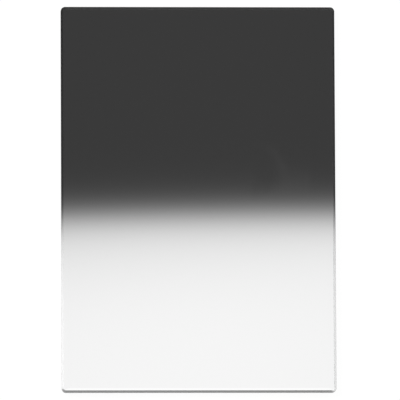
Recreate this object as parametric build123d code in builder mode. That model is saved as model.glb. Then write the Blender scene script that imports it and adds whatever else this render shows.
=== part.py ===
# Rectangular graduated filter plate: one flat sheet of optical glass that slides edge first into
# a holder's slot. The grey tint that fades along its length has no thickness of its own.
import os

from build123d import *

# Driving dimensions, in millimetres
PLATE_WIDTH = 101.6
PLATE_LENGTH = 143.5
PLATE_THICKNESS = 4.0
CORNER_RADIUS = 1.6
ARRIS_LEG = 0.75

# The plate lies on its rear face, which is at Z = 0 and centred on the origin.
# X is its width, Y its length towards the dark end and Z its thickness.
with BuildPart() as filter_plate:
    with BuildSketch(Plane.XY):
        RectangleRounded(PLATE_WIDTH, PLATE_LENGTH, CORNER_RADIUS)
    extrude(amount=PLATE_THICKNESS)

    # The arris, a narrow ground bevel, runs unbroken round the rim of both faces, corners too.
    rear_face, *_, front_face = filter_plate.faces().sort_by(Axis.Z)
    chamfer(rear_face.edges() + front_face.edges(), ARRIS_LEG)

filter_plate.part.label = "filter_plate"

os.makedirs("parts", exist_ok=True)
export_step(filter_plate.part, "parts/filter_plate.step")
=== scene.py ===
import math

import bpy
from mathutils import Matrix, Vector


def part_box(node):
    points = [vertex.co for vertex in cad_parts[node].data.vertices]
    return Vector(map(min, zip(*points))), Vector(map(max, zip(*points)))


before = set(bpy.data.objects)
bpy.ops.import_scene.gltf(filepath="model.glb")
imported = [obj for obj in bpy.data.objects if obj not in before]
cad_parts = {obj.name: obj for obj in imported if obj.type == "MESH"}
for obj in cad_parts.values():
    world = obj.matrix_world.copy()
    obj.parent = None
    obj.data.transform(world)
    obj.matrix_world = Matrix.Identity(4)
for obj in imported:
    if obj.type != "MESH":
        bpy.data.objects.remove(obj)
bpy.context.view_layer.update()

MM = 0.001
LOW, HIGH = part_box("filter_plate")
WIDTH, LENGTH, THICKNESS = HIGH - LOW
MIDDLE = (LOW + HIGH) / 2

# Camera: how far it leans from the plate's normal, towards -X and -Y, its slight roll, its lens, the
# width that it shows at the plate, the point that it aims at, counted from the plate's middle, and
# the nearest and farthest that it shows, as shares of its distance
LEAN_X = -0.0448
LEAN_Y = -0.1123
ROLL = math.radians(-0.26)
LENS_MM = 800
SENSOR_MM = 36
FRAME_WIDTH = 148.14 * MM
AIM_X = 0.64 * MM
AIM_Y = -0.15 * MM
NEAREST, FARTHEST = 0.1, 3

# The tint, as optical density. Each fade has its density, the Y of its middle, its spread,
# how far its middle climbs for each metre of X, and how far it falls back at the long sides.
MAIN_FADE = (1.328, -2.14 * MM, 3.66 * MM, 0.015, -0.30 * MM)
TAIL_FADE = (0.126, -16.5 * MM, 9.85 * MM, 0.07, 0.0)

# The thin even grey of the faces, and what it gains at the long sides
THIN_GREY = 0.036
SIDE_GREY = 0.006

# A faint wipe mark in the fade, in bands along a ring. Each has its first and last distance from
# the ring, its lowest and highest Y, and the density it adds.
RING_CENTRE = (17.8 * MM, 8.5 * MM)
RING_RADIUS = 13.8 * MM
RING_BLUR = 1.5 * MM
WIPED_RIDGE = (-1.5 * MM, 1.5 * MM, 9 * MM, 20 * MM, -0.06)
WIPED_SMEAR = (-1 * MM, 10 * MM, 3.5 * MM, 12 * MM, -0.05)
WIPED_FILM = (-10 * MM, -3.5 * MM, 1 * MM, 10 * MM, 0.04)

# The mark's blur in Y, how far right of the ring's centre it comes to full strength, and its weak
# patches: their size, the two values of the noise between which they give way, and the strength
# inside and outside them
WIPED_Y_BLUR = 3 * MM
WIPED_RISE = 4 * MM
PATCH_SIZE = 4 * MM
PATCHES = (0.35, 0.65, 0.6, 1.0)

# Ground edges: the corner arcs, the arris, how deep the grinding reaches at the clear end, and the
# width of the clear margin inside the arris there, a strip without the thin grey that is a painted
# highlight. The borders of the grinding and of the margin are blurred to each side, and waver by so
# much in all, in waves of about this size.
CORNER_RADIUS = 1.6 * MM
ARRIS_LEG = 0.75 * MM
END_GRIND = 0.67 * MM
HIGHLIGHT_MARGIN = 0.8 * MM
GRIND_BLUR = 0.02 * MM
HIGHLIGHT_MARGIN_BLUR = 0.2 * MM
WAVER = 0.03 * MM
WAVER_SIZE = 1.5 * MM

# Ground finish of the sides and of the clear end: colour, and share of matt scatter against clear
# glass. The clear end's dark grey colour is painted shade. The sides' share falls from the edge face
# to the inner border of the arris, and is nothing for light from inside the plate, which would
# speckle the rims.
SIDE_COLOUR, SIDE_MATT = 1.0, (0.64, 0.42)
END_SHADED_COLOUR, END_MATT = 0.41, 0.90

# Round a corner the finish turns from the side's to the end's between two values of how far a point
# leans to the end. That border draws in with depth. At the clear end's right-hand corner the dull
# finish and its painted shade start later, between two values of its own.
END_BORDER = (-1.25 * CORNER_RADIUS, -0.4 * CORNER_RADIUS)
END_TAPER = 1.5
LATE_BORDER = (0.2 * CORNER_RADIUS, 1.1 * CORNER_RADIUS)

# The upright edge face gets painted shade, a colour a little darker than the arris's, and turns into it
# between two depths
FACE_PAINTED_SHADE = 0.88
FACE_BORDER = (0.02 * MM, 0.06 * MM)

# The tint counts for more under the front arris, which light crosses aslant, than at the rear one
FRONT_SLANT, REAR_SLANT = 1.6, 0.5

# Grain of the ground finish: its size across and its scale along an edge, by how much it varies the
# colour and the roughness, and the strength and height of its bumps
GRAIN = 0.12 * MM
GRAIN_STRETCH = 0.1
GRAIN_SHADE = 0.1
GROUND_ROUGHNESS = 0.45
GRAIN_ROUGHNESS = 0.2
BUMP_STRENGTH = 0.25
BUMP_HEIGHT = 0.02 * MM

# Polished faces: the most that smears roughen them, and the smears' size
POLISHED_ROUGHNESS = 0.02
SMEAR_SIZE = 12 * MM

# Glass: how much it bends light, and a grey that dims what it reflects
GLASS_IOR = 1.52
REFLECTION_TINT = (0.25, 0.25, 0.25, 1)

# Studio: the white behind the plate, how strongly the sky lights surfaces, the lamps' width, and the
# place of each lamp with its watts
WHITE = (1, 1, 1, 1)
SKY_LIGHT = 0.30
LAMP_WIDTH = 0.5
LAMPS = {"key": ((-0.55, 0.35, 0.76), 8), "fill": ((0.7, 0.3, 0.65), 2.4)}

# Floor: half its width, its gap under the plate, and its paint. The camera sees mostly a white glow,
# strong enough to stay white, and a small share of the paint, which takes shadows.
FLOOR_HALF = 4.0
FLOOR_GAP = 0.02 * MM
FLOOR_PAINT = (0.6, 0.6, 0.6, 1)
FLOOR_GLOW = 1.05
SHADOW_SHARE = 0.08


def make_camera():
    """A long lens a few metres above the plate, leaning a little towards the clear end."""
    data = bpy.data.cameras.new("camera")
    data.lens = LENS_MM
    data.sensor_width = SENSOR_MM
    distance = FRAME_WIDTH * LENS_MM / SENSOR_MM
    data.clip_start = distance * NEAREST
    data.clip_end = distance * FARTHEST
    back = Vector((LEAN_X, LEAN_Y, math.sqrt(1 - LEAN_X ** 2 - LEAN_Y ** 2)))
    up = (Vector((0, 1, 0)) - back * back.y).normalized()
    right = up.cross(back)
    up, right = (up * math.cos(ROLL) - right * math.sin(ROLL),
                 right * math.cos(ROLL) + up * math.sin(ROLL))
    camera = bpy.data.objects.new("camera", data)
    bpy.context.scene.collection.objects.link(camera)
    turn = Matrix((right, up, back)).transposed().to_4x4()
    place = MIDDLE + back * distance + right * AIM_X + up * AIM_Y
    camera.matrix_world = Matrix.Translation(place) @ turn
    bpy.context.scene.camera = camera


class Nodes:
    """Short calls for making and linking shader nodes in one tree."""

    def __init__(self, tree):
        self.tree = tree
        tree.nodes.clear()

    def add(self, kind, inputs=None, **settings):
        node = self.tree.nodes.new(kind)
        for name, value in settings.items():
            setattr(node, name, value)
        for key, value in (inputs or {}).items():
            self.feed(node.inputs[key], value)
        return node

    def feed(self, socket, value):
        if isinstance(value, bpy.types.NodeSocket):
            self.tree.links.new(value, socket)
        else:
            socket.default_value = value

    def math(self, operation, *values):
        return self.add("ShaderNodeMath", dict(enumerate(values)), operation=operation).outputs[0]

    def vector(self, operation, *values):
        return self.add("ShaderNodeVectorMath", dict(enumerate(values)), operation=operation).outputs[0]

    def split(self, vector):
        return self.add("ShaderNodeSeparateXYZ", {0: vector}).outputs

    def mix(self, share, first, second):
        """First shader where share is 0, second where it is 1."""
        return self.add("ShaderNodeMixShader", {0: share, 1: first, 2: second}).outputs[0]

    def between(self, share, first, second):
        """First value where share is 0, second where it is 1."""
        change = self.math("SUBTRACT", second, first)
        return self.math("ADD", first, self.math("MULTIPLY", share, change))

    def swing(self, share, middle, width):
        """Middle where share is a half, and width more at a share of 1 than at 0."""
        return self.math("MULTIPLY_ADD", share, width, middle - width / 2)

    def diagonal(self, across, along):
        """Length of a line that runs so far across and so far along."""
        squares = [self.math("POWER", side, 2.0) for side in (across, along)]
        return self.math("SQRT", self.math("ADD", *squares))

    def step(self, value, low, high, start=0.0, end=1.0):
        """A smooth turn from start to end as value goes from low to high."""
        inputs = {"Value": value, "From Min": low, "From Max": high, "To Min": start, "To Max": end}
        return self.add("ShaderNodeMapRange", inputs, interpolation_type="SMOOTHSTEP").outputs[0]

    def below(self, value, limit, blur):
        """1 below the limit and 0 above it, fading over blur to each side."""
        return self.step(value, limit - blur, limit + blur, 1.0, 0.0)

    def window(self, value, low, high, blur):
        """1 from low to high and 0 outside, with ends that fade over blur to each side."""
        rise = self.step(value, low - blur, low + blur)
        return self.math("MULTIPLY", rise, self.below(value, high, blur))

    def noise(self, place, size):
        """Smooth noise from 0 to 1, with features about size metres across."""
        inputs = {"Vector": place, "Scale": 1 / size}
        return self.add("ShaderNodeTexNoise", inputs).outputs["Fac"]


def material(name):
    made = bpy.data.materials.new(name)
    made.use_nodes = True
    return made, Nodes(made.node_tree)


def outline_depth(n, centred):
    """Distance in from the plate's outline, and how far a point leans to an end against a side."""
    half = (WIDTH / 2 - CORNER_RADIUS, LENGTH / 2 - CORNER_RADIUS, 0)
    outside = n.vector("SUBTRACT", n.vector("ABSOLUTE", centred), half)
    across, along, _ = n.split(outside)
    round_part = n.diagonal(n.math("MAXIMUM", across, 0.0), n.math("MAXIMUM", along, 0.0))
    straight_part = n.math("MINIMUM", n.math("MAXIMUM", across, along), 0.0)
    depth = n.math("SUBTRACT", CORNER_RADIUS, n.math("ADD", round_part, straight_part))
    return depth, n.math("SUBTRACT", along, across)


def fade(n, x, y, bow, density, middle, spread, climb, fall_back):
    """Density that rises along an S curve towards the dark end."""
    front = n.math("MULTIPLY_ADD", x, climb, n.math("MULTIPLY_ADD", bow, fall_back, middle))
    level = n.math("DIVIDE", n.math("SUBTRACT", front, y), spread)
    return n.math("DIVIDE", density, n.math("ADD", 1.0, n.math("EXPONENT", level)))


def wipe_mark(n, x, y, place):
    """Blurred, patchy bands along part of a ring, where the tint is a touch thinner or thicker."""
    aside = n.math("SUBTRACT", x, RING_CENTRE[0])
    above = n.math("SUBTRACT", y, RING_CENTRE[1])
    off = n.math("SUBTRACT", n.diagonal(aside, above), RING_RADIUS)
    total = 0.0
    for first, last, bottom, top, density in (WIPED_RIDGE, WIPED_SMEAR, WIPED_FILM):
        band = n.math("MULTIPLY", n.window(off, first, last, RING_BLUR),
                      n.window(y, bottom, top, WIPED_Y_BLUR))
        total = n.math("MULTIPLY_ADD", band, density, total)
    right_side = n.step(aside, 0.0, WIPED_RISE)
    patchy = n.step(n.noise(place, PATCH_SIZE), *PATCHES)
    return n.math("MULTIPLY", total, n.math("MULTIPLY", right_side, patchy))


def glass_material():
    """Glass with a graduated tint and ground edges, duller at the clear end and darkened there by
    painted shade.
    """
    made, n = material("graduated_glass")
    place = n.add("ShaderNodeTexCoord").outputs["Object"]
    centred = n.vector("SUBTRACT", place, tuple(MIDDLE))
    x, y, z = n.split(centred)
    depth, lean = outline_depth(n, centred)

    # Where the two ends are, where the clear one is, and where the finish is dull and carries painted
    # shade
    on_ends = n.step(n.math("MULTIPLY_ADD", depth, -END_TAPER, lean), *END_BORDER)
    clear_half = n.math("LESS_THAN", y, 0.0)
    at_clear_end = n.math("MULTIPLY", on_ends, clear_half)
    right_half = n.math("GREATER_THAN", x, 0.0)
    dull_and_shaded = n.math("MULTIPLY", clear_half, n.between(right_half, on_ends, n.step(lean, *LATE_BORDER)))

    # The ground part, and the clear margin, where leaving out the thin grey paints a highlight
    edge = n.math("ADD", depth, n.swing(n.noise(place, WAVER_SIZE), 0.0, WAVER))
    reach = n.between(at_clear_end, ARRIS_LEG, END_GRIND)
    ground = n.below(n.math("SUBTRACT", edge, reach), 0.0, GRIND_BLUR)
    highlight_margin = n.math("MULTIPLY", at_clear_end, n.below(edge, ARRIS_LEG + HIGHLIGHT_MARGIN, HIGHLIGHT_MARGIN_BLUR))

    # Density, and the share of light that it lets through
    bow = n.math("POWER", n.math("DIVIDE", x, WIDTH / 2), 2.0)
    fades = n.math("ADD", fade(n, x, y, bow, *MAIN_FADE), fade(n, x, y, bow, *TAIL_FADE))
    thin = n.math("MULTIPLY", n.math("MULTIPLY_ADD", bow, SIDE_GREY, THIN_GREY),
                  n.math("SUBTRACT", 1.0, highlight_margin))
    on_faces = n.math("ADD", n.math("ADD", fades, wipe_mark(n, x, y, place)), thin)
    rear_arris = n.math("LESS_THAN", z, ARRIS_LEG - THICKNESS / 2)
    on_ground = n.math("MULTIPLY", fades, n.between(rear_arris, FRONT_SLANT, REAR_SLANT))
    density = n.between(ground, on_faces, on_ground)
    tint = n.math("POWER", 10.0, n.math("MULTIPLY", density, -1.0))

    # Grain along each edge
    along_side = n.noise(n.vector("MULTIPLY", place, (1, GRAIN_STRETCH, 1)), GRAIN)
    along_end = n.noise(n.vector("MULTIPLY", place, (GRAIN_STRETCH, 1, 1)), GRAIN)
    grain = n.between(on_ends, along_side, along_end)

    # Colour, with painted shade on the clear end's edges and on the upright edge face, matt share and
    # roughness
    finish_with_shade = n.between(dull_and_shaded, SIDE_COLOUR, END_SHADED_COLOUR)
    finish_with_shade = n.math("MULTIPLY", finish_with_shade, n.step(depth, *FACE_BORDER, FACE_PAINTED_SHADE, 1.0))
    finish_with_shade = n.math("MULTIPLY", finish_with_shade, n.swing(grain, 1.0, GRAIN_SHADE))
    from_outside = n.math("SUBTRACT", 1.0, n.add("ShaderNodeNewGeometry").outputs["Backfacing"])
    side_matt = n.math("MULTIPLY", n.step(depth, 0.0, ARRIS_LEG, *SIDE_MATT), from_outside)
    matt = n.math("MULTIPLY", ground, n.between(dull_and_shaded, side_matt, END_MATT))
    polished = n.math("MULTIPLY", n.noise(place, SMEAR_SIZE), POLISHED_ROUGHNESS)
    roughness = n.between(ground, polished, n.swing(grain, GROUND_ROUGHNESS, GRAIN_ROUGHNESS))

    bump = n.add("ShaderNodeBump", {
        "Strength": n.math("MULTIPLY", ground, BUMP_STRENGTH),
        "Distance": BUMP_HEIGHT,
        "Height": grain,
    })
    shader = n.add("ShaderNodeBsdfPrincipled", {
        "Base Color": n.between(ground, tint, n.math("MULTIPLY", tint, finish_with_shade)),
        "Roughness": roughness,
        "IOR": GLASS_IOR,
        "Transmission Weight": n.math("SUBTRACT", 1.0, matt),
        "Specular Tint": REFLECTION_TINT,
        "Normal": bump.outputs[0],
    })
    n.add("ShaderNodeOutputMaterial", {"Surface": shader.outputs[0]})
    return made


def dress_plate():
    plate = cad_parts["filter_plate"]
    plate.data.materials.clear()
    plate.data.materials.append(glass_material())


def reflected_or_through(n, rays):
    """1 for rays that come off a gloss or through glass."""
    return n.math("MAXIMUM", rays["Is Glossy Ray"], rays["Is Transmission Ray"])


def make_world():
    """White where it is seen, in glass and gloss too, and a weaker light on surfaces."""
    world = bpy.data.worlds.new("studio")
    bpy.context.scene.world = world
    world.use_nodes = True
    n = Nodes(world.node_tree)
    rays = n.add("ShaderNodeLightPath").outputs
    seen = n.math("MAXIMUM", rays["Is Camera Ray"], reflected_or_through(n, rays))
    light = n.add("ShaderNodeBackground", {"Color": WHITE, "Strength": SKY_LIGHT}).outputs[0]
    white = n.add("ShaderNodeBackground", {"Color": WHITE, "Strength": 1.0}).outputs[0]
    n.add("ShaderNodeOutputWorld", {"Surface": n.mix(seen, light, white)})


def floor_material():
    made, n = material("floor")
    rays = n.add("ShaderNodeLightPath").outputs
    paint = n.add("ShaderNodeBsdfDiffuse", {"Color": FLOOR_PAINT}).outputs[0]
    white = n.add("ShaderNodeEmission", {"Color": WHITE, "Strength": 1.0}).outputs[0]
    glow = n.add("ShaderNodeEmission", {"Color": WHITE, "Strength": FLOOR_GLOW}).outputs[0]
    direct = n.mix(rays["Is Camera Ray"], paint, n.mix(SHADOW_SHARE, glow, paint))
    surface = n.mix(reflected_or_through(n, rays), direct, white)
    n.add("ShaderNodeOutputMaterial", {"Surface": surface})
    return made


def make_floor():
    corners = [(-FLOOR_HALF, -FLOOR_HALF, 0), (FLOOR_HALF, -FLOOR_HALF, 0),
               (FLOOR_HALF, FLOOR_HALF, 0), (-FLOOR_HALF, FLOOR_HALF, 0)]
    mesh = bpy.data.meshes.new("floor")
    mesh.from_pydata(corners, [], [(0, 1, 2, 3)])
    mesh.materials.append(floor_material())
    floor = bpy.data.objects.new("floor", mesh)
    bpy.context.scene.collection.objects.link(floor)
    floor.location.z = LOW.z - FLOOR_GAP


def make_lamp(name, place, watts):
    """A square soft lamp that faces the plate.

    The glass doesn't show it, because paths that reach it from inside the plate leave bright dots.
    """
    data = bpy.data.lights.new(name, "AREA")
    data.size = LAMP_WIDTH
    data.energy = watts
    lamp = bpy.data.objects.new(name, data)
    bpy.context.scene.collection.objects.link(lamp)
    lamp.visible_transmission = False
    lamp.visible_glossy = False
    lamp.location = place
    lamp.rotation_mode = "QUATERNION"
    lamp.rotation_quaternion = Vector(place).to_track_quat("Z", "Y")


bpy.context.scene.view_settings.view_transform = "Standard"
make_camera()
make_world()
make_floor()
for lamp_name, (lamp_place, lamp_watts) in LAMPS.items():
    make_lamp(lamp_name, lamp_place, lamp_watts)
dress_plate()
